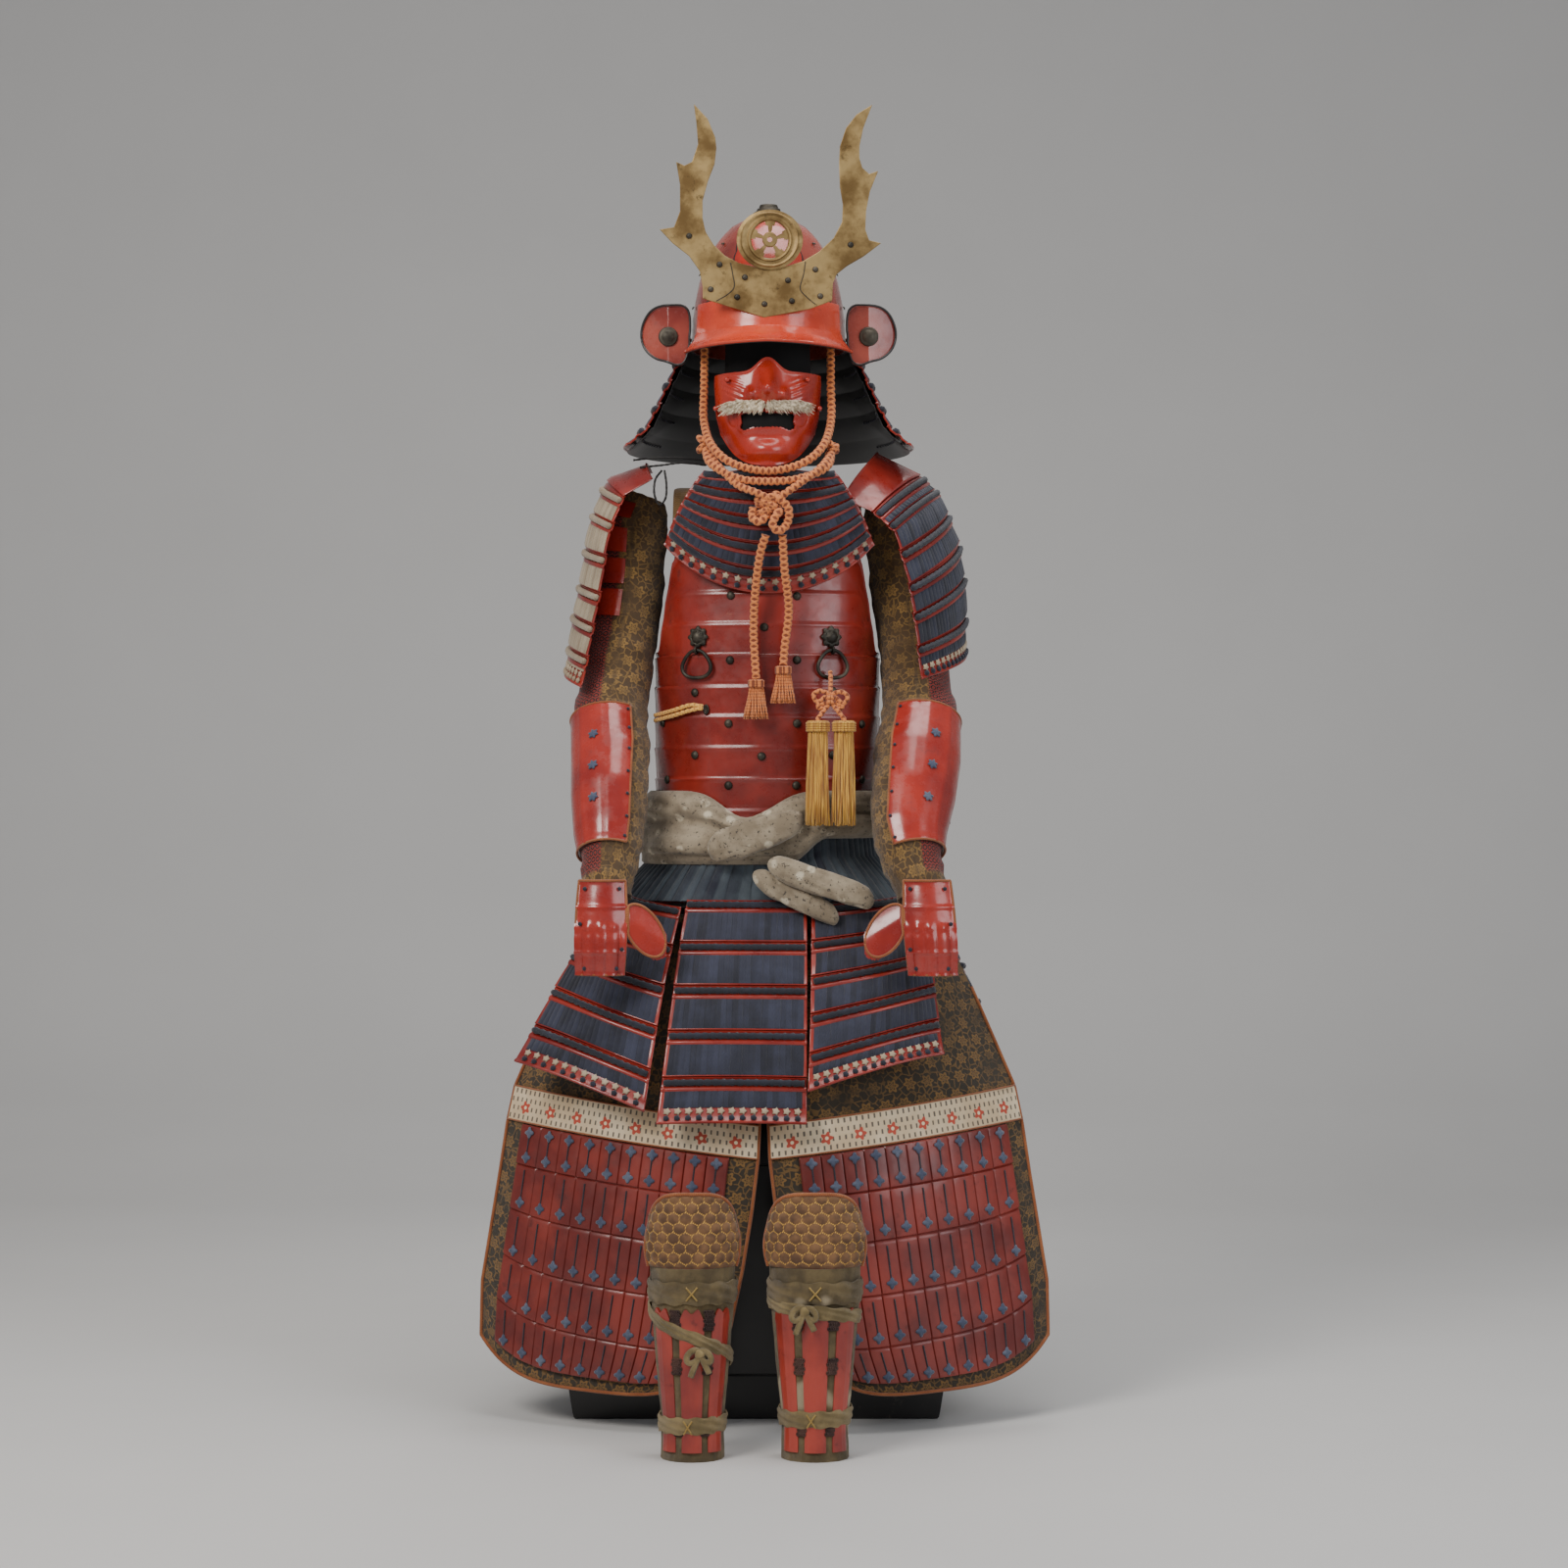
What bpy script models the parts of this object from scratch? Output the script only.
"""A suit of lacquered armour, laced together and dressed on a wooden stand that rises from a black chest.

Units are metres and +Z is up. The suit faces -Y, and the floor is z = 0. Sides are the viewer's: left is -X.
"""

import math

import bmesh
import bpy
import numpy as np

# Thicknesses and clearances
GAP = 0.0003
PLATE = 0.002
CLOTH = 0.0025
LIP = 0.0035
LAME_STEP = 0.0008
PLAIN_STEP = 0.0017

# The chest and the plain stand inside the suit
CHEST_X = -0.011
CHEST_Y = 0.138
CHEST_HEIGHT = 0.40
CHEST = [
    dict(z=0.0, half_width=0.2435, half_depth=0.202),
    dict(z=0.058, half_width=0.2525, half_depth=0.207),
    dict(z=CHEST_HEIGHT, half_width=0.2525, half_depth=0.207),
]
CHEST_CORNER = 0.004
STRAP_TOP = 1.250
STRAP_WIDTH = 0.032
STRAP_THICK = 0.009
STRAP_SAG = 0.0017
WAIST_BOARD = dict(z=0.655, y=0.080, half_width=0.176, half_depth=0.132)
STAND = [
    dict(z=CHEST_HEIGHT + GAP, y=0.080, half_width=0.100, half_depth=0.080),
    dict(z=0.420, y=0.080, half_width=0.100, half_depth=0.080),
    dict(z=0.421, y=0.080, half_width=0.022, half_depth=0.022),
    dict(z=0.654, y=0.080, half_width=0.022, half_depth=0.022),
    WAIST_BOARD,
    {**WAIST_BOARD, "z": 0.680},
    dict(z=0.681, y=0.080, half_width=0.022, half_depth=0.022),
    dict(z=1.219, y=0.080, half_width=0.022, half_depth=0.022),
    dict(z=1.220, y=0.080, half_width=0.125, half_depth=0.028),
    dict(z=STRAP_TOP - STRAP_THICK / 2 - STRAP_SAG, y=0.080, half_width=0.125, half_depth=0.028),
    dict(z=1.247, y=0.080, half_width=0.022, half_depth=0.022),
    dict(z=1.530, y=0.060, half_width=0.022, half_depth=0.022),
    dict(z=1.531, y=0.050, half_width=0.055, half_depth=0.068),
    dict(z=1.575, y=0.050, half_width=0.050, half_depth=0.062),
    dict(z=1.6165, y=0.050, half_width=0.0204, half_depth=0.0264),
]

# Helmet
HELMET_X = 0.005
HELMET_Y = 0.050
BOWL_HALF_WIDTH = 0.1045
BOWL_HALF_DEPTH = 0.1250
BRIM_Z = 1.440
CROWN_Z = 1.622
BOWL_POWER = 2.3
BOWL_STEPS = (0.0, 0.20, 0.42, 0.63, 0.81, 0.93, 0.985)
FRONT_PLATE_ANGLE = 33.0
FRONT_PLATE_RAISE = 0.0012
PEAK_ANGLE = 64.0
PEAK_REACH = 0.030
PEAK_STAND = 0.0040
TOP_FITTING = [
    dict(z=1.6199, radius=0.027),
    dict(z=1.6240, radius=0.027),
    dict(z=1.6270, radius=0.020),
    dict(z=1.6330, radius=0.0155),
    dict(z=1.6390, radius=0.0125),
]
NECK_GUARD = [
    dict(z=1.452, half_width=0.1078, half_depth=0.1283),
    dict(z=1.424, half_width=0.1210, half_depth=0.1410),
    dict(z=1.394, half_width=0.1350, half_depth=0.1550),
    dict(z=1.362, half_width=0.1500, half_depth=0.1700),
    dict(z=1.330, half_width=0.1660, half_depth=0.1850),
    dict(z=1.302, half_width=0.1960, half_depth=0.2040),
]
NECK_GUARD_FRONT = 76.0
TURNBACK_X = 0.136
TURNBACK_Z = 1.4535
TURNBACK_Y = 0.0125
TURNBACK_SWEEP = 0.55
TURNBACK = [
    dict(degrees=0, reach=0.0385),
    dict(degrees=30, reach=0.0415),
    dict(degrees=60, reach=0.0460),
    dict(degrees=95, reach=0.0440),
    dict(degrees=120, reach=0.0500),
    dict(degrees=150, reach=0.0350),
    dict(degrees=180, reach=0.0290),
    dict(degrees=215, reach=0.0340),
    dict(degrees=245, reach=0.0450),
    dict(degrees=275, reach=0.0340),
    dict(degrees=315, reach=0.0350),
    dict(degrees=360, reach=0.0385),
]
TURNBACK_BOSS = 0.013

# One-piece crest of a crescent and antlers, half-outlines from the base up and back down the inner edge
CREST_BASE_Z = 1.4665
CREST_Y = -0.0755
CREST_LEAN = 0.05
CREST_THICK = 0.003
CREST_OUTLINE_LEFT = [
    dict(x=0.000, z=1.4665),
    dict(x=-0.034, z=1.477),
    dict(x=-0.066, z=1.487),
    dict(x=-0.082, z=1.492),
    dict(x=-0.082, z=1.507),
    dict(x=-0.086, z=1.528),
    dict(x=-0.100, z=1.548),
    dict(x=-0.122, z=1.565),
    dict(x=-0.139, z=1.583),
    dict(x=-0.120, z=1.586),
    dict(x=-0.112, z=1.607),
    dict(x=-0.112, z=1.642),
    dict(x=-0.117, z=1.672),
    dict(x=-0.106, z=1.667),
    dict(x=-0.096, z=1.672),
    dict(x=-0.088, z=1.695),
    dict(x=-0.090, z=1.722),
    dict(x=-0.0935, z=1.748),
    dict(x=-0.075, z=1.728),
    dict(x=-0.065, z=1.704),
    dict(x=-0.0635, z=1.690),
    dict(x=-0.066, z=1.669),
    dict(x=-0.075, z=1.646),
    dict(x=-0.082, z=1.621),
    dict(x=-0.082, z=1.598),
    dict(x=-0.078, z=1.580),
    dict(x=-0.0675, z=1.563),
    dict(x=-0.052, z=1.548),
    dict(x=-0.034, z=1.539),
    dict(x=-0.010, z=1.533),
]
CREST_OUTLINE_RIGHT = [
    dict(x=0.010, z=1.533),
    dict(x=0.027, z=1.534),
    dict(x=0.051, z=1.541),
    dict(x=0.073, z=1.554),
    dict(x=0.092, z=1.572),
    dict(x=0.103, z=1.593),
    dict(x=0.104, z=1.616),
    dict(x=0.100, z=1.639),
    dict(x=0.099, z=1.672),
    dict(x=0.100, z=1.692),
    dict(x=0.108, z=1.716),
    dict(x=0.122, z=1.734),
    dict(x=0.143, z=1.747),
    dict(x=0.131, z=1.716),
    dict(x=0.126, z=1.692),
    dict(x=0.126, z=1.677),
    dict(x=0.130, z=1.664),
    dict(x=0.139, z=1.656),
    dict(x=0.151, z=1.660),
    dict(x=0.140, z=1.633),
    dict(x=0.135, z=1.607),
    dict(x=0.134, z=1.583),
    dict(x=0.139, z=1.569),
    dict(x=0.155, z=1.565),
    dict(x=0.131, z=1.547),
    dict(x=0.110, z=1.535),
    dict(x=0.096, z=1.524),
    dict(x=0.091, z=1.512),
    dict(x=0.090, z=1.489),
    dict(x=0.060, z=1.478),
]
DISC_X = 0.0072
DISC_Z = 1.5690
DISC_HALF_WIDTH = 0.0440
DISC_HALF_HEIGHT = 0.0395
DISC_OPENING = 0.0245
DISC_HUB = 0.0080
DISC_PETALS = 5

# Mask and throat guard
MASK_X = 0.004
MASK_Y = 0.010
MASK = [
    dict(z=1.4150, half_width=0.0740, half_depth=0.0800),
    dict(z=1.3850, half_width=0.0755, half_depth=0.0830),
    dict(z=1.3400, half_width=0.0725, half_depth=0.0860),
    dict(z=1.3140, half_width=0.0655, half_depth=0.0890),
    dict(z=1.2860, half_width=0.0560, half_depth=0.0900),
    dict(z=1.2700, half_width=0.0470, half_depth=0.0820),
]
MASK_DEGREES = (-72, -57, -42, -28, -17, -8, 0, 8, 17, 28, 42, 57, 72)
MASK_CHEEK_Z = 1.396
MASK_NOSE_TOP = 0.019
MASK_CHIN_Z = 1.271
MASK_JAW_RISE = 0.062
MOUSTACHE_Z = 1.3455
MOUSTACHE_HALF_WIDTH = 0.0630
MOUSTACHE_HALF_HEIGHT = 0.0078
MOUSTACHE_HALF_DEPTH = 0.0042
MOUSTACHE_STAND = 0.0087
MOUTH_ROWS = slice(5, 6)
MOUTH_COLUMNS = slice(3, 9)
NOSE_Z = 1.376
BIB_X = 0.006
BIB_Z = 1.330
BIB_TOP = 0.0593
BIB_TOP_END = 0.1080
BIB_BOTTOM = 0.2270
BIB_BOTTOM_END = 0.2120
BIB_SPREAD_TOP = 53.0
BIB_SPREAD_BOTTOM = 41.0
BIB_TOP_Y = -0.0740
BIB_BOTTOM_Y = -0.0434
BIB_WRAP = 1.15

# Cuirass
TORSO_X = 0.003
TORSO_Y = 0.080
TORSO = [
    dict(z=1.200, half_width=0.147, half_depth=0.108),
    dict(z=1.060, half_width=0.151, half_depth=0.120),
    dict(z=0.980, half_width=0.152, half_depth=0.123),
    dict(z=0.900, half_width=0.152, half_depth=0.122),
    dict(z=0.800, half_width=0.150, half_depth=0.116),
]
TORSO_POWER = 2.25
TORSO_RIDGE = 0.004
CUIRASS_BOTTOM = 0.800
LAME_HEIGHT = 0.0415
LAME_SEAMS = 6
ARMHOLE_Z = 1.020
CHEST_TOP = 1.157
BACK_TOP = 1.192
SIDE_SEAM = 89.0

# Rosettes and rings on the chest
ROSETTE_X = 0.0882
ROSETTE_Z = 1.0445
ROSETTE_RADIUS = 0.0140
EYE_DROP = 0.0178
EYE_RADIUS = 0.0032
EYE_WIRE = 0.0030
RING_WIRE = 0.0050
RING_HALF_WIDTH = 0.0215
RING_HEIGHT = 0.0370
RING_STAND_OFF = 0.0075

# Tassel on the right ring
TASSEL_Y = -0.0790
TASSEL_KNOT = [
    dict(z=0.9995, y=-0.0382, half_width=0.0040, half_depth=0.0028),
    dict(z=0.9860, y=-0.0400, half_width=0.0045, half_depth=0.0040),
    dict(z=0.9740, y=-0.0520, half_width=0.0200, half_depth=0.0060),
    dict(z=0.9570, y=-0.0640, half_width=0.0230, half_depth=0.0080),
    dict(z=0.9420, y=-0.0730, half_width=0.0180, half_depth=0.0060),
    dict(z=0.9315, y=-0.0780, half_width=0.0120, half_depth=0.0045),
]
TASSEL_X = dict(left=0.0710, right=0.1056)
TASSEL_TOP = 0.9312
TASSEL_BOTTOM = 0.7910
TASSEL_RADIUS = 0.0162

# Arms: the middle of each sleeve from the shoulder to the wrist, x measured out from the middle
ARM = {
    "left": [
        dict(z=1.243, x=0.1680, y=0.080, radius=0.034),
        dict(z=1.200, x=0.1830, y=0.080, radius=0.050),
        dict(z=1.130, x=0.1870, y=0.077, radius=0.049),
        dict(z=1.050, x=0.1961, y=0.068, radius=0.050),
        dict(z=0.990, x=0.2050, y=0.055, radius=0.049),
        dict(z=0.930, x=0.2100, y=0.028, radius=0.051),
        dict(z=0.880, x=0.2060, y=-0.010, radius=0.052),
        dict(z=0.830, x=0.2060, y=-0.045, radius=0.050),
        dict(z=0.780, x=0.2045, y=-0.075, radius=0.046),
        dict(z=0.742, x=0.2045, y=-0.100, radius=0.038),
        dict(z=0.700, x=0.2080, y=-0.118, radius=0.033),
    ],
    "right": [
        dict(z=1.243, x=0.1680, y=0.080, radius=0.034),
        dict(z=1.200, x=0.1870, y=0.080, radius=0.054),
        dict(z=1.130, x=0.1920, y=0.077, radius=0.049),
        dict(z=1.050, x=0.2010, y=0.068, radius=0.048),
        dict(z=0.990, x=0.2070, y=0.055, radius=0.047),
        dict(z=0.930, x=0.2100, y=0.022, radius=0.053),
        dict(z=0.880, x=0.2030, y=-0.015, radius=0.058),
        dict(z=0.830, x=0.1970, y=-0.050, radius=0.055),
        dict(z=0.780, x=0.1900, y=-0.080, radius=0.049),
        dict(z=0.742, x=0.1960, y=-0.102, radius=0.040),
        dict(z=0.700, x=0.2080, y=-0.119, radius=0.033),
    ],
}
SLEEVE_COLUMNS = 12
FOREARM_PLACES = (5.0, 6.0, 7.0, 8.0, 8.7)
FOREARM_COLUMNS = [
    dict(degrees=-32, relief=0.0),
    dict(degrees=0, relief=0.0),
    dict(degrees=30, relief=0.0),
    dict(degrees=45, relief=0.0015),
    dict(degrees=60, relief=0.0),
    dict(degrees=90, relief=0.0),
    dict(degrees=118, relief=0.0),
]
HAND = {
    "left": dict(x=0.2120, bottom_x=0.2140, y=-0.1511),
    "right": dict(x=0.2130, bottom_x=0.2200, y=-0.1556),
}
HAND_HALF_WIDTH = 0.0330
HAND_TOP = 0.7205
HAND_BOTTOM = 0.5980
THUMB_REACH = 0.0520
THUMB_DROP = 0.0240

# Shoulder guards: front and rear edges, down from the edge beside the neck
SHOULDER_GUARD = {
    "left": [
        dict(front_x=-0.1510, front_y=-0.005, front_z=1.2590, rear_x=-0.1560, rear_y=0.110, rear_z=1.2780),
        dict(front_x=-0.1880, front_y=-0.020, front_z=1.2330, rear_x=-0.2120, rear_y=0.128, rear_z=1.2620),
        dict(front_x=-0.2080, front_y=-0.022, front_z=1.1800, rear_x=-0.2330, rear_y=0.135, rear_z=1.2050),
        dict(front_x=-0.2190, front_y=-0.022, front_z=1.1050, rear_x=-0.2450, rear_y=0.135, rear_z=1.1300),
        dict(front_x=-0.2320, front_y=-0.020, front_z=1.0400, rear_x=-0.2560, rear_y=0.130, rear_z=1.0700),
        dict(front_x=-0.2440, front_y=-0.018, front_z=0.9760, rear_x=-0.2600, rear_y=0.125, rear_z=1.0050),
    ],
    "right": [
        dict(front_x=0.1030, front_y=-0.022, front_z=1.2300, rear_x=0.1520, rear_y=0.085, rear_z=1.3030),
        dict(front_x=0.1440, front_y=-0.030, front_z=1.2110, rear_x=0.2130, rear_y=0.105, rear_z=1.2720),
        dict(front_x=0.1740, front_y=-0.034, front_z=1.1830, rear_x=0.2420, rear_y=0.112, rear_z=1.2430),
        dict(front_x=0.1920, front_y=-0.036, front_z=1.1150, rear_x=0.2660, rear_y=0.115, rear_z=1.1830),
        dict(front_x=0.2010, front_y=-0.036, front_z=1.0550, rear_x=0.2760, rear_y=0.112, rear_z=1.1150),
        dict(front_x=0.2080, front_y=-0.034, front_z=0.9870, rear_x=0.2740, rear_y=0.105, rear_z=1.0250),
    ],
}
SHOULDER_BOW = 0.018
SHOULDER_LAMES = 6

# Waist: lacing skirt, sash and tassets
SKIRT = [
    dict(z=CUIRASS_BOTTOM - GAP, half_width=0.1500, half_depth=0.1160),
    dict(z=0.7480, half_width=0.1570, half_depth=0.1200),
    dict(z=0.7200, half_width=0.1850, half_depth=0.1330),
    dict(z=0.6900, half_width=0.2130, half_depth=0.1430),
]
SASH = [
    dict(drop=0.00, bulge=0.003),
    dict(drop=0.08, bulge=0.013),
    dict(drop=0.26, bulge=0.019),
    dict(drop=0.44, bulge=0.010),
    dict(drop=0.58, bulge=0.017),
    dict(drop=0.80, bulge=0.021),
    dict(drop=0.94, bulge=0.012),
    dict(drop=1.00, bulge=0.003),
]
SASH_TOP = 0.838
SASH_DIP = 0.036
SASH_DIP_X = -0.022
SASH_BOTTOM = 0.740
SASH_RISE = 0.034
SASH_CLEAR = 0.0040
SASH_KNOT = [
    dict(x=-0.076, y=-0.0690, z=0.762, half_height=0.010, half_depth=0.0050),
    dict(x=-0.064, y=-0.0740, z=0.764, half_height=0.020, half_depth=0.0095),
    dict(x=-0.030, y=-0.0752, z=0.772, half_height=0.024, half_depth=0.0115),
    dict(x=0.005, y=-0.0752, z=0.782, half_height=0.022, half_depth=0.0115),
    dict(x=0.035, y=-0.0752, z=0.793, half_height=0.019, half_depth=0.0100),
    dict(x=0.052, y=-0.0700, z=0.800, half_height=0.012, half_depth=0.0050),
]
SASH_TAIL = {
    "1": [
        dict(x=-0.016, y=-0.0800, z=0.7250, half_height=0.010, half_depth=0.0050),
        dict(x=0.002, y=-0.0830, z=0.7170, half_height=0.017, half_depth=0.0090),
        dict(x=0.034, y=-0.0840, z=0.7010, half_height=0.017, half_depth=0.0090),
        dict(x=0.070, y=-0.0835, z=0.6830, half_height=0.017, half_depth=0.0090),
        dict(x=0.092, y=-0.0825, z=0.6720, half_height=0.014, half_depth=0.0080),
        dict(x=0.099, y=-0.0830, z=0.6690, half_height=0.006, half_depth=0.0040),
    ],
    "2": [
        dict(x=0.004, y=-0.0923, z=0.7400, half_height=0.010, half_depth=0.0050),
        dict(x=0.022, y=-0.0943, z=0.7350, half_height=0.017, half_depth=0.0085),
        dict(x=0.064, y=-0.0943, z=0.7200, half_height=0.018, half_depth=0.0085),
        dict(x=0.108, y=-0.0920, z=0.7050, half_height=0.018, half_depth=0.0085),
        dict(x=0.138, y=-0.0870, z=0.6950, half_height=0.015, half_depth=0.0080),
        dict(x=0.146, y=-0.0860, z=0.6930, half_height=0.006, half_depth=0.0040),
    ],
}
TASSET_LAMES = 5
TASSETS = {
    "front": dict(
        from_degrees=-27.0, to_degrees=12.0, top_left_z=0.692, top_right_z=0.692,
        left_x=-0.1390, left_y=-0.190, left_z=0.405,
        right_x=0.0550, right_y=-0.190, right_z=0.405,
        bow=0.006, columns=7, stand=0.0005,
    ),
    "front_left": dict(
        from_degrees=-78.0, to_degrees=-29.0, top_left_z=0.705, top_right_z=0.682,
        left_x=-0.3290, left_y=-0.100, left_z=0.478,
        right_x=-0.1555, right_y=-0.172, right_z=0.419,
        bow=0.012, columns=7, stand=0.0012,
    ),
    "front_right": dict(
        from_degrees=13.5, to_degrees=72.0, top_left_z=0.684, top_right_z=0.700,
        left_x=0.0570, left_y=-0.182, left_z=0.446,
        right_x=0.2350, right_y=-0.125, right_z=0.490,
        bow=0.012, columns=7, stand=0.0018,
    ),
    "side_left": dict(
        from_degrees=-122.0, to_degrees=-80.0, top_left_z=0.690, top_right_z=0.705,
        left_x=-0.2980, left_y=0.210, left_z=0.440,
        right_x=-0.3200, right_y=0.034, right_z=0.455,
        bow=0.008, columns=5, stand=0.0042,
    ),
    "side_right": dict(
        from_degrees=74.0, to_degrees=118.0, top_left_z=0.700, top_right_z=0.690,
        left_x=0.3200, left_y=0.034, left_z=0.455,
        right_x=0.2980, right_y=0.210, right_z=0.440,
        bow=0.008, columns=5, stand=0.0034,
    ),
    "back_left": dict(
        from_degrees=-179.0, to_degrees=-124.0, top_left_z=0.686, top_right_z=0.690,
        left_x=-0.0040, left_y=0.330, left_z=0.430,
        right_x=-0.2000, right_y=0.300, right_z=0.430,
        bow=0.010, columns=5, stand=-0.0013,
    ),
    "back_right": dict(
        from_degrees=120.0, to_degrees=179.0, top_left_z=0.690, top_right_z=0.686,
        left_x=0.2000, left_y=0.300, left_z=0.430,
        right_x=0.0040, right_y=0.330, right_z=0.430,
        bow=0.010, columns=5, stand=-0.0004,
    ),
}

# Thigh guards: rows down each panel from the waist, x measured out from the middle
THIGH_CLOTH = [
    dict(inner_x=0.006, inner_z=0.6575, outer_x=0.1620, outer_z=0.6775, front_y=0.0, back_y=0.0),
    dict(inner_x=0.006, inner_z=0.600, outer_x=0.2650, outer_z=0.605, front_y=-0.0900, back_y=0.020),
    dict(inner_x=0.006, inner_z=0.500, outer_x=0.3060, outer_z=0.510, front_y=-0.1300, back_y=0.008),
    dict(inner_x=0.006, inner_z=0.401, outer_x=0.3360, outer_z=0.440, front_y=-0.1600, back_y=-0.006),
    dict(inner_x=0.008, inner_z=0.356, outer_x=0.3460, outer_z=0.393, front_y=-0.1680, back_y=-0.010),
    dict(inner_x=0.016, inner_z=0.290, outer_x=0.3560, outer_z=0.325, front_y=-0.1750, back_y=-0.014),
    dict(inner_x=0.028, inner_z=0.215, outer_x=0.3680, outer_z=0.250, front_y=-0.1760, back_y=-0.018),
    dict(inner_x=0.044, inner_z=0.140, outer_x=0.3790, outer_z=0.180, front_y=-0.1730, back_y=-0.024),
    dict(inner_x=0.070, inner_z=0.098, outer_x=0.3800, outer_z=0.108, front_y=-0.1680, back_y=-0.032),
]
THIGH_SAG = 0.052
THIGH_SWEEP = 2.0
THIGH_SHARES = (0.0, 0.06, 0.22, 0.40, 0.58, 0.76, 0.90, 0.97, 1.0)
BOARD_STAND = 0.0016
BAND_TOP = 3.0
BAND_BOTTOM = 3.95
SPLINT_TOP = 4.0
SPLINT_BOTTOM = 7.72
SPLINT_FROM = 0.11
SPLINT_TO = 0.93
SPLINT_ROWS = 5
SPLINT_COLUMNS = 10
SPLINT_RAISE = 0.0017
SEWN_STAND = 0.0011
BAND_STAND = 0.0004

# Shin guards and knee pads
SHIN_Y = -0.3035
SHIN = {"left": dict(x=-0.0892, wide=1.00), "right": dict(x=0.0650, wide=1.07)}
SHIN_PROFILE = [
    dict(z=0.000, half_width=0.0400, half_depth=0.0395, strap=0.0),
    dict(z=0.045, half_width=0.0388, half_depth=0.0386, strap=0.0),
    dict(z=0.120, half_width=0.0460, half_depth=0.0400, strap=0.0),
    dict(z=0.196, half_width=0.0520, half_depth=0.0410, strap=0.0),
    dict(z=0.198, half_width=0.0520, half_depth=0.0410, strap=0.003),
    dict(z=0.225, half_width=0.0530, half_depth=0.0410, strap=0.003),
    dict(z=0.227, half_width=0.0530, half_depth=0.0410, strap=0.0),
    dict(z=0.2415, half_width=0.0535, half_depth=0.0410, strap=0.0),
]
SHIN_WRAP = 112.0
SPLINT_ANGLES = (-46.0, 0.0, 46.0)
SPLINT_HALF_ANGLE = 17.0
SHIN_SPLINT_RAISE = 0.0022
KNEE_BOTTOM = 0.2420
KNEE_TOP = 0.3330
KNEE_HALF_WIDTH = 0.0590
KNEE_ROWS = 7
KNEE_COLUMNS = 11
QUILT = 0.0022

# Chin cord
CORD = 0.0110
CHIN_CORD = [
    (-0.0810, -0.012, 1.4388),
    (-0.0815, -0.016, 1.3850),
    (-0.0815, -0.030, 1.3350),
    (-0.0700, -0.062, 1.2980),
    (-0.0420, -0.078, 1.2730),
    (0.0040, -0.0808, 1.2625),
    (0.0500, -0.078, 1.2730),
    (0.0780, -0.062, 1.2980),
    (0.0890, -0.030, 1.3350),
    (0.0890, -0.016, 1.3850),
    (0.0890, -0.012, 1.4388),
]
CHIN_KNOT = [
    dict(z=1.2330, half_width=0.0060, half_depth=0.0050),
    dict(z=1.2270, half_width=0.0180, half_depth=0.0100),
    dict(z=1.2120, half_width=0.0210, half_depth=0.0115),
    dict(z=1.1950, half_width=0.0210, half_depth=0.0115),
    dict(z=1.1830, half_width=0.0190, half_depth=0.0100),
    dict(z=1.1790, half_width=0.0150, half_depth=0.0070),
]
CHIN_KNOT_X = 0.0130
CHIN_KNOT_Y = -0.0881
CHIN_TAIL = {
    "left": [
        (0.0020, -0.0885, 1.1773),
        (-0.0060, -0.0820, 1.1500),
        (-0.0125, -0.0680, 1.1000),
        (-0.0144, -0.0620, 1.0475),
        (-0.0110, -0.0640, 0.9870),
    ],
    "right": [
        (0.0240, -0.0885, 1.1773),
        (0.0270, -0.0780, 1.1300),
        (0.0325, -0.0650, 1.0800),
        (0.0270, -0.0620, 1.0300),
        (0.0250, -0.0640, 1.0050),
    ],
}
TUFT = {
    "left": dict(x=-0.0112, y=-0.0650, top=0.9865, bottom=0.9330, spread=2.0),
    "right": dict(x=0.0250, y=-0.0650, top=1.0045, bottom=0.9540, spread=2.0),
}

LOOKS = {
    "red_lacquer": dict(colour=(0.42, 0.050, 0.026), roughness=0.32, metallic=0.0),
    "black_lacquer": dict(colour=(0.012, 0.011, 0.011), roughness=0.35, metallic=0.0),
    "aged_brass": dict(colour=(0.30, 0.21, 0.09), roughness=0.42, metallic=0.85),
    "dark_iron": dict(colour=(0.045, 0.042, 0.036), roughness=0.5, metallic=0.7),
    "brocade": dict(colour=(0.075, 0.045, 0.012), roughness=0.85, metallic=0.0),
    "blue_lacing": dict(colour=(0.016, 0.018, 0.040), roughness=0.85, metallic=0.0),
    "sash_cloth": dict(colour=(0.26, 0.19, 0.12), roughness=0.9, metallic=0.0),
    "printed_leather": dict(colour=(0.62, 0.50, 0.35), roughness=0.7, metallic=0.0),
    "leg_cloth": dict(colour=(0.11, 0.075, 0.025), roughness=0.9, metallic=0.0),
    "orange_cord": dict(colour=(0.52, 0.17, 0.050), roughness=0.8, metallic=0.0),
    "gold_silk": dict(colour=(0.62, 0.36, 0.050), roughness=0.55, metallic=0.0),
    "moustache_hair": dict(colour=(0.55, 0.42, 0.30), roughness=0.85, metallic=0.0),
    "black_wood": dict(colour=(0.014, 0.012, 0.011), roughness=0.6, metallic=0.0),
}


def column(table, name):
    """One named column of a table."""
    return np.array([row[name] for row in table], float)


def read(table, key, name, at):
    """A column of a table read at places along its key column, straight between rows."""
    keys = column(table, key)
    order = np.argsort(keys)
    return np.interp(at, keys[order], column(table, name)[order])


def point(x, y, z):
    """Coordinates of any matching shapes, joined to points."""
    return np.stack(np.broadcast_arrays(x, y, z), axis=-1).astype(float)


def unit(vectors):
    """Vectors scaled to length one."""
    return vectors / np.linalg.norm(vectors, axis=-1, keepdims=True)


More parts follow.
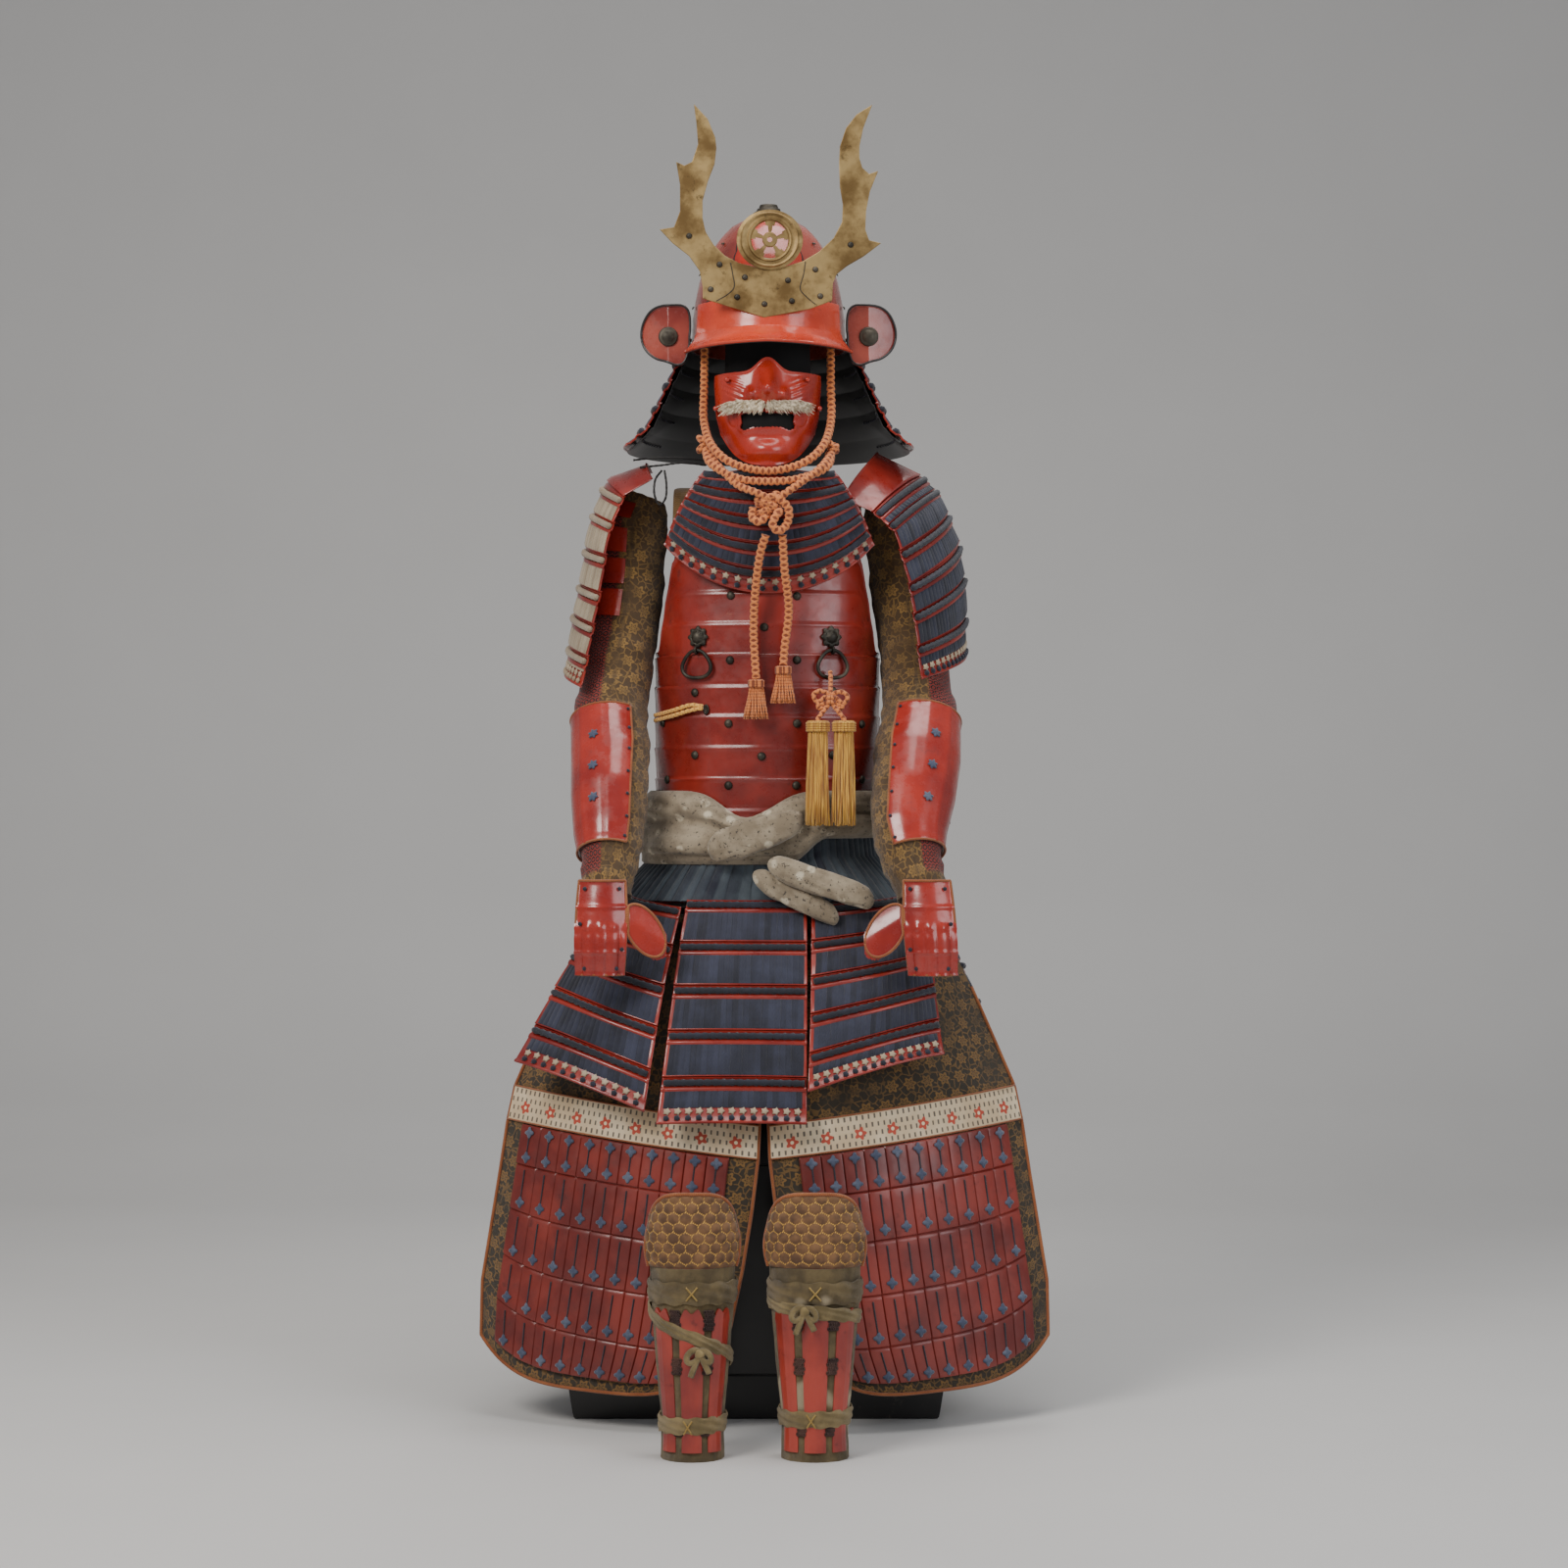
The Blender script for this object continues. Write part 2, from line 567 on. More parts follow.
def oval(angle, half_width, half_depth, power=2.0):
    """Where a rounded oval lies at an angle that runs from the front round to +X."""
    across = np.sin(angle)
    along = np.cos(angle)
    x = half_width * np.sign(across) * np.abs(across) ** (2 / power)
    y = -half_depth * np.sign(along) * np.abs(along) ** (2 / power)
    return x, y


def smooth_step(value):
    """Rises softly from 0 to 1."""
    held = np.clip(value, 0, 1)
    return held * held * (3 - 2 * held)


def smooth_route(points, spacing):
    """Evenly spaced points on a smooth curve that passes through the given ones."""
    given = np.array(points, float)
    padded = np.vstack([2 * given[0] - given[1], given, 2 * given[-1] - given[-2]])
    t = np.linspace(0, 1, 16, endpoint=False)[:, None]
    pieces = []
    for a, b, c, d in zip(padded, padded[1:], padded[2:], padded[3:]):
        bend = 2 * a - 5 * b + 4 * c - d
        twist = 3 * b - a - 3 * c + d
        pieces.append(b + 0.5 * t * (c - a + t * (bend + t * twist)))
    dense = np.vstack(pieces + [given[-1:]])
    along = np.concatenate([[0], np.cumsum(np.linalg.norm(np.diff(dense, axis=0), axis=1))])
    at = np.linspace(0, along[-1], int(round(along[-1] / spacing)) + 1)
    return np.stack([np.interp(at, along, dense[:, k]) for k in range(3)], axis=1)


def material(look):
    """The plain finish of one kind of piece."""
    found = bpy.data.materials.get(look)
    if found:
        return found
    made = bpy.data.materials.new(look)
    made.use_nodes = True
    shader = made.node_tree.nodes["Principled BSDF"]
    shader.inputs["Base Color"].default_value = (*LOOKS[look]["colour"], 1.0)
    shader.inputs["Roughness"].default_value = LOOKS[look]["roughness"]
    shader.inputs["Metallic"].default_value = LOOKS[look]["metallic"]
    return made


def add_mesh(name, points, faces, look, needless=()):
    """A closed body from points and faces, less the needless edges, with its faces turned outwards."""
    mesh = bpy.data.meshes.new(name)
    mesh.from_pydata([tuple(p) for p in points], [], [list(map(int, f)) for f in faces])
    shape = bmesh.new()
    shape.from_mesh(mesh)
    shape.verts.ensure_lookup_table()
    found = [shape.edges.get((shape.verts[a], shape.verts[b])) for a, b in needless]
    loose = [v for v in shape.verts if not v.link_faces]
    bmesh.ops.dissolve_edges(shape, edges=[edge for edge in found if edge], use_verts=True)
    bmesh.ops.delete(shape, geom=[v for v in loose if v.is_valid], context="VERTS")
    bmesh.ops.recalc_face_normals(shape, faces=shape.faces)
    shape.to_mesh(mesh)
    shape.free()
    mesh.shade_smooth()
    mesh.set_sharp_from_angle(angle=math.radians(40))
    mesh.materials.append(material(look))
    made = bpy.data.objects.new(name, mesh)
    bpy.context.scene.collection.objects.link(made)
    return made


def outward(base, inside, closed):
    """Unit normals of a grid of points, turned away from the inside points."""
    if closed:
        across = np.roll(base, -1, axis=1) - np.roll(base, 1, axis=1)
    else:
        across = np.gradient(base, axis=1)
    down = np.gradient(base, axis=0)
    normals = unit(np.cross(across, down))
    away = np.sum(normals * (base - np.asarray(inside, float)))
    return normals if away > 0 else -normals


def hair_lines(lines):
    """Which lines of a grid only make a step, so that a plain side does without them."""
    last = 0
    for number in range(1, len(lines) - 1):
        if np.linalg.norm(lines[number] - lines[last], axis=-1).mean() < PLAIN_STEP:
            yield number
        else:
            last = number


def wall(name, base, look, inside, thickness=CLOTH, relief=0.0, keep=None, closed=False):
    """A sheet of cloth or plate on a grid: raised by its relief outside, plain inside, with closed rims."""
    normals = outward(base, inside, closed)
    outer = base + normals * np.broadcast_to(relief, base.shape[:2])[..., None]
    inner = base - normals * np.broadcast_to(thickness, base.shape[:2])[..., None]
    rows, columns = base.shape[:2]
    span = columns if closed else columns - 1
    kept = np.ones((rows - 1, span), bool) if keep is None else keep

    def corner(side, place):
        return side * rows * columns + place[0] * columns + place[1] % columns

    faces = []
    edges = set()
    for r, c in np.argwhere(kept):
        turn = (c + 1) % columns
        cell = [(r, c), (r + 1, c), (r + 1, turn), (r, turn)]
        faces.append([corner(0, p) for p in cell])
        faces.append([corner(1, p) for p in reversed(cell)])
        edges.update(zip(cell, cell[1:] + cell[:1]))
    for start, end in sorted(edges):
        if (end, start) not in edges:
            faces.append([corner(0, end), corner(0, start), corner(1, start), corner(1, end)])
    needless = []
    for r in hair_lines(base):
        needless += [(corner(1, (r, c)), corner(1, (r, c + 1))) for c in range(span)]
    for c in hair_lines(base.swapaxes(0, 1)):
        needless += [(corner(1, (r, c)), corner(1, (r + 1, c))) for r in range(rows - 1)]
    points = np.concatenate([outer.reshape(-1, 3), inner.reshape(-1, 3)])
    return add_mesh(name, points, faces, look, needless)


def loft(name, rings, look, ring_shaped=False):
    """A solid through rings of points. Its ends are capped, unless it runs round to its start."""
    count, sides = rings.shape[:2]
    faces = []
    for r in range(count if ring_shaped else count - 1):
        here = r * sides
        there = (r + 1) % count * sides
        for c in range(sides):
            turn = (c + 1) % sides
            faces.append([here + c, here + turn, there + turn, there + c])
    if not ring_shaped:
        faces.append(range(sides))
        faces.append(range((count - 1) * sides, count * sides))
    return add_mesh(name, rings.reshape(-1, 3), faces, look)


def spindle(name, table, look, x, y=None, sides=10):
    """A solid of upright ovals, one for each row of a table."""
    angle = np.linspace(0, math.tau, sides, endpoint=False)
    middle = column(table, "y")[:, None] if y is None else y
    z = column(table, "z")[:, None]
    wide, deep = oval(angle, column(table, "half_width")[:, None], column(table, "half_depth")[:, None])
    return loft(name, point(x + wide, middle + deep, z), look)


def sausage(name, table, look, sides=10):
    """A soft roll of cloth that runs across the suit, through one oval for each row of a table."""
    angle = np.linspace(0, math.tau, sides, endpoint=False)
    deep, high = oval(angle, column(table, "half_depth")[:, None], column(table, "half_height")[:, None])
    x = column(table, "x")[:, None]
    return loft(name, point(x, column(table, "y")[:, None] + deep, column(table, "z")[:, None] + high), look)


def cord(name, route, diameter, look):
    """A round cord along a smooth route."""
    points = smooth_route(route, diameter * 2.1)
    curve = bpy.data.curves.new(name, "CURVE")
    curve.dimensions = "3D"
    curve.bevel_depth = diameter / 2
    curve.bevel_resolution = 2
    curve.use_fill_caps = True
    line = curve.splines.new("POLY")
    line.points.add(len(points) - 1)
    line.points.foreach_set("co", np.column_stack([points, np.ones(len(points))]).ravel())
    curve.materials.append(material(look))
    made = bpy.data.objects.new(name, curve)
    bpy.context.scene.collection.objects.link(made)
    return made


def lame_rows(edges, low, high):
    """Places down a stepped panel and how far each stands out, from the lames' edges and two reliefs."""
    step = 0.5 * LAME_STEP / (edges[-1] - edges[0])
    places = []
    reliefs = []
    for top, bottom in zip(edges, edges[1:]):
        places += [top + step * (top > edges[0]), bottom]
        reliefs += [low, high]
    return np.array(places), np.array(reliefs)


def across(left, right, share):
    """Points part of the way from the left ones to the right ones."""
    return left + (right - left) * share


# Chest and stand


def make_chest():
    """The black chest: a plain box that narrows to its foot, with small chamfers down its corners."""
    corners = []
    for sign_x, sign_y in ((1, 1), (-1, 1), (-1, -1), (1, -1)):
        first = (sign_x, sign_y, CHEST_CORNER, 0)
        second = (sign_x, sign_y, 0, CHEST_CORNER)
        corners += [first, second] if sign_x * sign_y > 0 else [second, first]
    rings = []
    for row in CHEST:
        ring = [
            (
                CHEST_X + sx * (row["half_width"] - cut_x),
                CHEST_Y + sy * (row["half_depth"] - cut_y),
                row["z"],
            )
            for sx, sy, cut_y, cut_x in corners
        ]
        rings.append(ring)
    loft("stand_chest", np.array(rings), "black_lacquer")


def make_stand():
    """The plain post with its foot, waist board, shoulder board and head block, turned as one body."""
    spindle("stand_post", STAND, "black_wood", x=0.0, sides=12)


# Helmet


def bowl_radius(share):
    """How wide the bowl is, as a share of its brim, at a share of its height."""
    return (1 - share**BOWL_POWER) ** (1 / BOWL_POWER)


def bowl_points(angle, share, out=0.0):
    """Points of the bowl's outside."""
    x, y = oval(angle, BOWL_HALF_WIDTH, BOWL_HALF_DEPTH)
    scale = bowl_radius(share) * (1 + out / BOWL_HALF_WIDTH)
    return point(HELMET_X + x * scale, HELMET_Y + y * scale, BRIM_Z + (CROWN_Z - BRIM_Z) * share)


def make_bowl():
    """The iron bowl, open below and at the crown, with its broad front plate standing proud of the sides."""
    even = np.arange(-180, 180, 18.0)
    seam = np.array([FRONT_PLATE_ANGLE - 1, FRONT_PLATE_ANGLE])
    degrees = np.sort(np.concatenate([even, seam, -seam]))
    angle, share = np.meshgrid(np.radians(degrees), BOWL_STEPS)
    proud = np.abs(np.degrees(angle)) < FRONT_PLATE_ANGLE - 0.5
    middle = (HELMET_X, HELMET_Y, BRIM_Z)
    wall(
        "helmet_bowl", bowl_points(angle, share), "red_lacquer", middle,
        thickness=PLATE, relief=proud * FRONT_PLATE_RAISE, closed=True,
    )


def make_peak():
    """The peak, riveted to the front of the brim and flared out over the brow."""
    degrees = np.linspace(-PEAK_ANGLE, PEAK_ANGLE, 11)
    angle = np.radians(degrees)
    reach = 0.35 + 0.65 * np.cos(angle) ** 2
    rows = []
    for out, z in ((0.0, 1.4580), (0.0085, 1.4490), (0.0085 + PEAK_REACH, 1.4320)):
        x, y = oval(angle, BOWL_HALF_WIDTH, BOWL_HALF_DEPTH)
        length = np.hypot(x, y)
        grown = 1 + (PEAK_STAND + out * reach) / length
        rows.append(point(HELMET_X + x * grown, HELMET_Y + y * grown, z - 0.004 * np.abs(np.sin(angle))))
    wall("helmet_peak", np.array(rows), "red_lacquer", (HELMET_X, HELMET_Y, BRIM_Z - 0.1), thickness=PLATE)


def make_top_fitting():
    """The tiered fitting over the hole in the crown."""
    angle = np.linspace(0, math.tau, 14, endpoint=False)
    radius = column(TOP_FITTING, "radius")[:, None]
    x = HELMET_X + radius * np.sin(angle)
    y = HELMET_Y - radius * np.cos(angle)
    loft("helmet_top", point(x, y, column(TOP_FITTING, "z")[:, None]), "dark_iron")


def make_neck_guard():
    """Five flared lames laced one below the other, from temple to temple round the back."""
    edges = np.arange(len(NECK_GUARD), dtype=float)
    places, relief = lame_rows(edges, 0.0, LIP)
    angle = np.radians(np.linspace(NECK_GUARD_FRONT, 360 - NECK_GUARD_FRONT, 14))
    rows = np.arange(len(NECK_GUARD))
    wide = np.interp(places, rows, column(NECK_GUARD, "half_width"))[:, None]
    deep = np.interp(places, rows, column(NECK_GUARD, "half_depth"))[:, None]
    z = np.interp(places, rows, column(NECK_GUARD, "z"))[:, None]
    x, y = oval(angle, wide, deep)
    base = point(HELMET_X + x, HELMET_Y + y, z)
    inside = (HELMET_X, HELMET_Y, BRIM_Z)
    wall("neck_guard", base, "red_lacquer", inside, thickness=PLATE, relief=relief[:, None])


def make_turnback(side):
    """One turned-back end of the top lame, with a round boss in its middle."""
    sign = -1 if side == "left" else 1
    angle = np.linspace(0, math.tau, 16, endpoint=False)
    reach = read(TURNBACK, "degrees", "reach", np.degrees(angle))
    across_x = TURNBACK_X + reach * np.cos(angle)
    up = TURNBACK_Z + reach * np.sin(angle)
    back = TURNBACK_Y + TURNBACK_SWEEP * np.maximum(across_x - TURNBACK_X, 0)
    plate = point(sign * across_x + HELMET_X, back, up)
    front = plate - (0, PLATE, 0)
    rings = [plate, front]
    for share, proud in ((1.0, 0.0005), (0.8, 0.004), (0.4, 0.006)):
        radius = TURNBACK_BOSS * share
        rings.append(
            point(
                sign * (TURNBACK_X + radius * np.cos(angle)) + HELMET_X,
                TURNBACK_Y - PLATE - proud,
                TURNBACK_Z + radius * np.sin(angle),
            )
        )
    loft(f"turnback_{side}", np.array(rings), "red_lacquer")


def crest_depth(z):
    """How far forward the crest's back lies at a height."""
    return CREST_Y - CREST_LEAN * (z - CREST_BASE_Z)


def make_crest():
    """The crescent and antlers, cut from one plate."""
    outline = CREST_OUTLINE_LEFT + CREST_OUTLINE_RIGHT
    x = column(outline, "x")
    z = column(outline, "z")
    back = point(x, crest_depth(z), z)
    loft("crest_antlers", np.array([back, back - (0, CREST_THICK, 0)]), "aged_brass")


def make_crest_disc():
    """The openwork disc on the crest: a raised ring, a hub and petals with gaps cut through between them."""
    turns = DISC_PETALS * 4
    angle = np.linspace(0, math.tau, turns, endpoint=False)
    shares = np.array([0.003, DISC_HUB, DISC_OPENING, 0.030, 0.037, DISC_HALF_WIDTH])
    relief = np.array([0.001, 0.001, 0.0, 0.002, 0.002, 0.0])
    tall = np.interp(shares, (DISC_OPENING, DISC_HALF_WIDTH), (1, DISC_HALF_HEIGHT / DISC_HALF_WIDTH))
    x = DISC_X + shares[:, None] * np.sin(angle)
    z = DISC_Z + (shares * tall)[:, None] * np.cos(angle)
    y = crest_depth(z) - CREST_THICK - GAP - PLATE
    keep = np.ones((len(shares) - 1, turns), bool)
    keep[1] = np.arange(turns) % 4 == 0
    wall(
        "crest_disc", point(x, y, z), "aged_brass", (DISC_X, 0, DISC_Z),
        thickness=PLATE, relief=relief[:, None], keep=keep, closed=True,
    )


# Mask and throat guard


def mask_points(angle, z, out=0.0):
    """The mask's face without its nose, as a tapering half oval."""
    wide = read(MASK, "z", "half_width", z) + out
    deep = read(MASK, "z", "half_depth", z) + out
    x, y = oval(angle, wide, deep, 2.2)
    return point(MASK_X + x, MASK_Y + y, z)


def make_mask():
    """The half mask: cheeks, nose and jaw, with an open mouth."""
    degrees = np.array(MASK_DEGREES, float)
    angle = np.radians(degrees)
    top = MASK_CHEEK_Z + MASK_NOSE_TOP * np.exp(-((degrees / 12) ** 2))
    bottom = MASK_CHIN_Z + MASK_JAW_RISE * (np.abs(degrees) / 72) ** 2.2
    upper = np.linspace(0, 1, 6)[:, None]
    lower = np.linspace(0, 1, 4)[:, None]
    lip_top = 1.342 + 0.012 * (np.abs(degrees) / 72) ** 2
    lip_bottom = np.maximum(1.320, bottom + 0.010)
    z = np.vstack([across(top, lip_top, upper), across(lip_bottom, bottom, lower)])
    base = mask_points(angle[None, :], z)
    height = (z - NOSE_Z) / 0.020
    nose = 0.026 * np.exp(-((degrees / 11) ** 2) - height**2)
    wings = 0.009 * np.exp(-(((np.abs(degrees) - 17) / 8) ** 2) - ((z - 1.366) / 0.010) ** 2)
    cheeks = 0.005 * np.exp(-(((np.abs(degrees) - 38) / 14) ** 2) - ((z - 1.374) / 0.016) ** 2)
    chin = 0.006 * np.exp(-((degrees / 22) ** 2) - ((z - 1.292) / 0.012) ** 2)
    base[..., 1] -= nose + wings + cheeks + chin
    keep = np.ones((z.shape[0] - 1, z.shape[1] - 1), bool)
    keep[MOUTH_ROWS, MOUTH_COLUMNS] = False
    wall("face_mask", base, "red_lacquer", (MASK_X, MASK_Y + 0.05, 1.34), thickness=PLATE, keep=keep)


def make_moustache():
    """The bristle moustache, a flat tapering roll over the upper lip."""
    share = np.linspace(-1, 1, 9)
    x = MASK_X - 0.004 + MOUSTACHE_HALF_WIDTH * share
    angle = np.arcsin(np.clip((x - MASK_X) / read(MASK, "z", "half_width", MOUSTACHE_Z), -1, 1))
    lip = mask_points(angle, np.full(9, MOUSTACHE_Z))[:, 1]
    fade = np.sqrt(1.06 - share**2)
    rows = []
    for i in range(9):
        rows.append(
            dict(
                x=x[i],
                y=lip[i] - MOUSTACHE_STAND - 0.002 * fade[i],
                z=MOUSTACHE_Z + 0.005 * abs(share[i]),
                half_height=MOUSTACHE_HALF_HEIGHT * fade[i],
                half_depth=MOUSTACHE_HALF_DEPTH * fade[i],
            )
        )
    sausage("moustache", rows, "moustache_hair", sides=8)


def bib_points(angle, share, out=0.0):
    """Points of the throat guard: a fan of arcs about the chin that lies forward over the chest."""
    turn = np.abs(angle)
    top = BIB_TOP + (BIB_TOP_END - BIB_TOP) * turn**2
    bottom = BIB_BOTTOM + (BIB_BOTTOM_END - BIB_BOTTOM) * turn**2
    spread = np.radians(across(BIB_SPREAD_TOP, BIB_SPREAD_BOTTOM, share))
    radius = across(top, bottom, share)
    x = radius * np.sin(angle * spread)
    z = BIB_Z - radius * np.cos(angle * spread)
    y = across(BIB_TOP_Y, BIB_BOTTOM_Y, share) - 0.012 * np.sin(math.pi * share) + BIB_WRAP * x**2 - out
    return point(BIB_X + x, y, z)


def make_throat_guard():
    """Five curved lames hung from the mask, each lower one laced outside."""
    places, relief = lame_rows(np.linspace(0, 1, 6), 0.0, 0.003)
    angle, share = np.meshgrid(np.linspace(-1, 1, 11), places)
    base = bib_points(angle, share)
    wall("throat_guard", base, "red_lacquer", (BIB_X, 0.1, 1.3), thickness=PLATE, relief=relief[:, None])


# Cuirass


def torso_points(angle, z, out=0.0):
    """The cuirass's plain surface, with the soft ridge down its front."""
    wide = read(TORSO, "z", "half_width", z) + out
    deep = read(TORSO, "z", "half_depth", z) + out
    x, y = oval(angle, wide, deep, TORSO_POWER)
    ridge = TORSO_RIDGE * np.exp(-((angle / 0.18) ** 2))
    return point(TORSO_X + x, TORSO_Y + y - ridge, z)


def make_cuirass(name, middle_degrees, top_z, columns):
    """Half of the cuirass: flat riveted lames, each top edge a step out, with an armhole at both sides."""
    turn = np.linspace(-SIDE_SEAM, SIDE_SEAM, columns)
    angle = np.radians(middle_degrees + turn)
    seams = CUIRASS_BOTTOM + 0.0135 + LAME_HEIGHT * np.arange(LAME_SEAMS)
    crest = seams[-1]
    edges = np.concatenate([[top_z, (top_z + 2 * crest) / 3 + 0.012], seams[::-1], [CUIRASS_BOTTOM]])
    z = []
    relief = []
    for upper, lower in zip(edges, edges[1:]):
        z += [upper - LAME_STEP * (upper < top_z), lower]
        relief += [0.0020, 0.0]
    z = np.array(z)[:, None] * np.ones(columns)
    relief = np.array(relief)[:, None] * np.ones(columns)
    shoulder = smooth_step((76 - np.abs(turn)) / 24)
    cut = crest + 0.006 + (top_z - crest - 0.006) * shoulder
    above = z > crest
    z = np.where(above, crest + (z - crest) * (cut - crest) / (top_z - crest), z)
    base = torso_points(angle[None, :], z)
    wall(name, base, "red_lacquer", (TORSO_X, TORSO_Y, 1.0), thickness=PLATE, relief=relief)


def make_strap(side):
    """A padded strap over the shoulder, from the top of the chest to the top of the back."""
    sign = -1 if side == "left" else 1
    route = [
        (0.0, -0.0060, CHEST_TOP + 0.0014),
        (0.0, 0.0060, 1.2000),
        (0.0, 0.0400, 1.2400),
        (0.0, 0.0800, STRAP_TOP),
        (0.0, 0.1200, 1.2430),
        (0.0, 0.1500, 1.2200),
        (0.0, 0.1630, BACK_TOP + 0.0018),
    ]
    line = smooth_route(route, 0.030)
    along = unit(np.gradient(line, axis=0))
    up = np.cross((1.0, 0.0, 0.0), along)
    angle = np.linspace(0, math.tau, 8, endpoint=False)
    wide, high = oval(angle, STRAP_WIDTH / 2, STRAP_THICK / 2, 3.0)
    x = TORSO_X + sign * 0.1120 + wide
    rings = point(x, 0, 0) + line[:, None, :] + up[:, None, :] * high[None, :, None]
    loft(f"shoulder_strap_{side}", rings, "brocade")


def chest_frame(x, z):
    """A place on the chest: its point, the way across it and the way out of it."""
    wide = read(TORSO, "z", "half_width", z)
    turn = math.asin((abs(x - TORSO_X) / wide) ** (TORSO_POWER / 2))
    angle = np.array([turn - 0.01, turn, turn + 0.01]) * math.copysign(1, x)
    spots = torso_points(angle, np.full(3, z))
    tangent = unit(spots[2] - spots[0]) * math.copysign(1, x)
    outside = np.cross(tangent, (0, 0, 1))
    return spots[1], tangent, outside


def placed(frame, right, out, up):
    """Local coordinates across, out of and up the chest, turned into points."""
    spot, tangent, outside = frame
    shape = np.broadcast_shapes(np.shape(right), np.shape(out), np.shape(up))
    across_all = np.broadcast_to(right, shape)[..., None] * tangent
    out_all = np.broadcast_to(out, shape)[..., None] * outside
    up_all = np.broadcast_to(up, shape)[..., None] * np.array((0, 0, 1.0))
    return spot + across_all + out_all + up_all


def make_rosette(side):
    """A petalled iron boss on the chest, with the eye that its ring hangs in."""
    sign = -1 if side == "left" else 1
    frame = chest_frame(sign * ROSETTE_X, ROSETTE_Z)
    angle = np.linspace(0, math.tau, 16, endpoint=False)
    petal = 1 + 0.10 * np.cos(8 * angle)
    rows = [
        dict(out=0.0006, radius=ROSETTE_RADIUS * 0.90),
        dict(out=0.0038, radius=ROSETTE_RADIUS),
        dict(out=0.0068, radius=ROSETTE_RADIUS * 0.80),
        dict(out=0.0100, radius=ROSETTE_RADIUS * 0.34),
    ]
    radius = column(rows, "radius")[:, None] * petal
    boss = loft(
        f"chest_rosette_{side}",
        placed(frame, radius * np.cos(angle), column(rows, "out")[:, None], radius * np.sin(angle)),
        "dark_iron",
    )
    turn = np.linspace(0, math.tau, 10, endpoint=False)[:, None]
    wire = np.linspace(0, math.tau, 5, endpoint=False)
    reach = EYE_RADIUS + EYE_WIRE / 2 + EYE_WIRE / 2 * np.cos(wire)
    eye = loft(
        f"chest_eye_{side}",
        placed(
            frame,
            EYE_WIRE / 2 * np.sin(wire),
            RING_STAND_OFF + reach * np.cos(turn),
            -EYE_DROP + reach * np.sin(turn),
        ),
        "dark_iron",
        ring_shaped=True,
    )
    eye.hide_render = True
    eye.display_type = "WIRE"
    union = boss.modifiers.new("eye", "BOOLEAN")
    union.operation = "UNION"
    union.solver = "EXACT"
    union.object = eye


def make_ring(side):
    """The lobed iron ring that swings in the rosette's eye."""
    sign = -1 if side == "left" else 1
    frame = chest_frame(sign * ROSETTE_X, ROSETTE_Z)
    turn = np.linspace(0, math.tau, 20, endpoint=False)
    lobe = 1 + 0.07 * np.cos(3 * turn)
    right = RING_HALF_WIDTH * lobe * np.sin(turn)
    up = RING_HEIGHT / 2 * lobe * np.cos(turn)
    up = up - up.max() - EYE_DROP
    spots = np.stack([right, up], axis=1)
    along = unit(np.roll(spots, -1, axis=0) - np.roll(spots, 1, axis=0))
    wire = np.linspace(0, math.tau, 6, endpoint=False)
    off = RING_WIRE / 2 * np.cos(wire)
    rings = placed(
        frame,
        right[:, None] + along[:, 1:] * off,
        RING_STAND_OFF + RING_WIRE / 2 * np.sin(wire),
        up[:, None] - along[:, :1] * off,
    )
    loft(f"chest_ring_{side}", rings, "dark_iron", ring_shaped=True)


def make_strands(name, x, y, top, bottom, radius, head, spread, look, rings=2, sectors=9):
    """A tassel: a round head with separate square strands that hang from its underside."""
    shape = bmesh.new()
    angle = np.linspace(0, math.tau, sectors, endpoint=False)
    loops = []
    reaches = [0.55, 0.95] + [1 - k / (rings + 0.35) for k in range(rings + 1)]
    heights = [top, top - 0.002] + [head] * (rings + 1)
    for reach, z in zip(radius * np.array(reaches), heights):
        spots = zip(x + reach * np.sin(angle), y - reach * np.cos(angle))
        loops.append([shape.verts.new((*spot, z)) for spot in spots])
    shape.faces.new(loops[0])
    under = []
    for level, (first, second) in enumerate(zip(loops, loops[1:])):
        for k in range(sectors):
            turn = (k + 1) % sectors
            made = shape.faces.new((first[k], first[turn], second[turn], second[k]))
            if level >= 2:
                under.append(made)
    shape.faces.new(loops[-1])
    bmesh.ops.recalc_face_normals(shape, faces=shape.faces)
    gap = radius * 0.045
    bmesh.ops.inset_individual(shape, faces=under, thickness=gap, use_even_offset=True)
    tips = bmesh.ops.extrude_discrete_faces(shape, faces=under)["faces"]
    for number, face in enumerate(tips):
        middle = face.calc_center_median()
        length = (head - bottom) * (1 - 0.05 * ((number * 7) % 5) / 4)
        for vertex in face.verts:
            vertex.co.x += (middle.x - x) * (spread - 1)
            vertex.co.y += (middle.y - y) * 0.1
            vertex.co.z -= length
    bmesh.ops.recalc_face_normals(shape, faces=shape.faces)
    mesh = bpy.data.meshes.new(name)
    shape.to_mesh(mesh)
    shape.free()
    mesh.materials.append(material(look))
    made = bpy.data.objects.new(name, mesh)
    bpy.context.scene.collection.objects.link(made)


def make_chest_tassels():
    """The cord with its bow knot on the right ring, and the two silk tassels below it."""
    spindle("tassel_knot", TASSEL_KNOT, "orange_cord", x=0.0880)
    for side, x in TASSEL_X.items():
        make_strands(
            f"tassel_{side}", x, TASSEL_Y, TASSEL_TOP - GAP, TASSEL_BOTTOM, TASSEL_RADIUS,
            TASSEL_TOP - 0.014, 1.05, "gold_silk",
        )


# Arms


